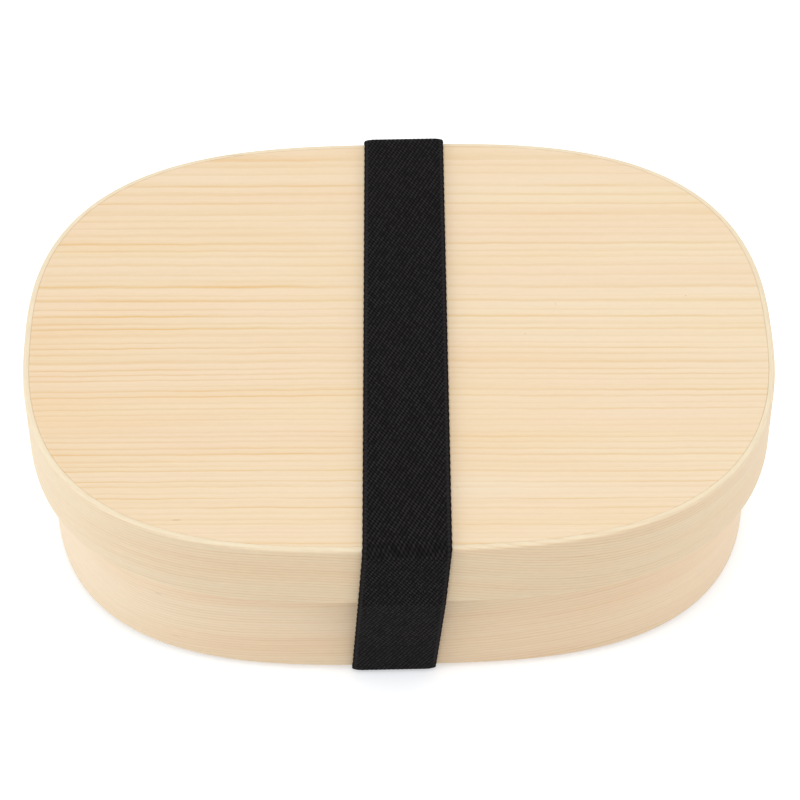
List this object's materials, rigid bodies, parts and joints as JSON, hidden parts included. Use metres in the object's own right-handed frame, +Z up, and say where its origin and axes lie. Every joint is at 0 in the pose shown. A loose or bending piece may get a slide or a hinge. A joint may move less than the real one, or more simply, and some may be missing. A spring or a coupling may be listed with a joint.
{
  "type": "bento box",
  "caption": "Oval bent-wood bento box with an over-fitting lid, a loose divider inside and a black elastic band round the middle.",
  "frame": {"origin": "middle of the box's footprint, on the surface it stands on", "axes": "+X along the box's long side, +Y towards its back, where the strips are lapped and laced, +Z up through the lid"},
  "size_m": [0.18, 0.1368, 0.0515],
  "materials": {
    "wood": "planed pale cedar, thin clear coat",
    "bark": "polished cherry bark",
    "elastic": "ribbed woven elastic",
    "thread": "polyester sewing thread"
  },
  "bodies": {
    "box": {"box_side_strip": "wood", "box_base_board": "wood", "box_bark_lacing": "bark"},
    "lid": {"lid_side_strip": "wood", "lid_top_board": "wood", "lid_bark_lacing": "bark"},
    "divider": {"divider_board": "wood"},
    "band": {"elastic_band": "elastic", "band_seam_thread_front": "thread", "band_seam_thread_back": "thread"}
  },
  "joints": [
    {"name": "lid_lift", "type": "slide", "parent": "box", "child": "lid", "axis": [0, 0, 1], "range_m": [0, 0.05], "deforming": ["elastic_band"]},
    {"name": "band_slide", "type": "slide", "parent": "box", "child": "band", "axis": [1, 0, 0], "range_m": [0, 0.115], "deforming": ["elastic_band", "band_seam_thread_front", "band_seam_thread_back"]},
    {"name": "divider_slide", "type": "slide", "parent": "box", "child": "divider", "axis": [1, 0, 0], "range_m": [-0.04, 0]}
  ]
}
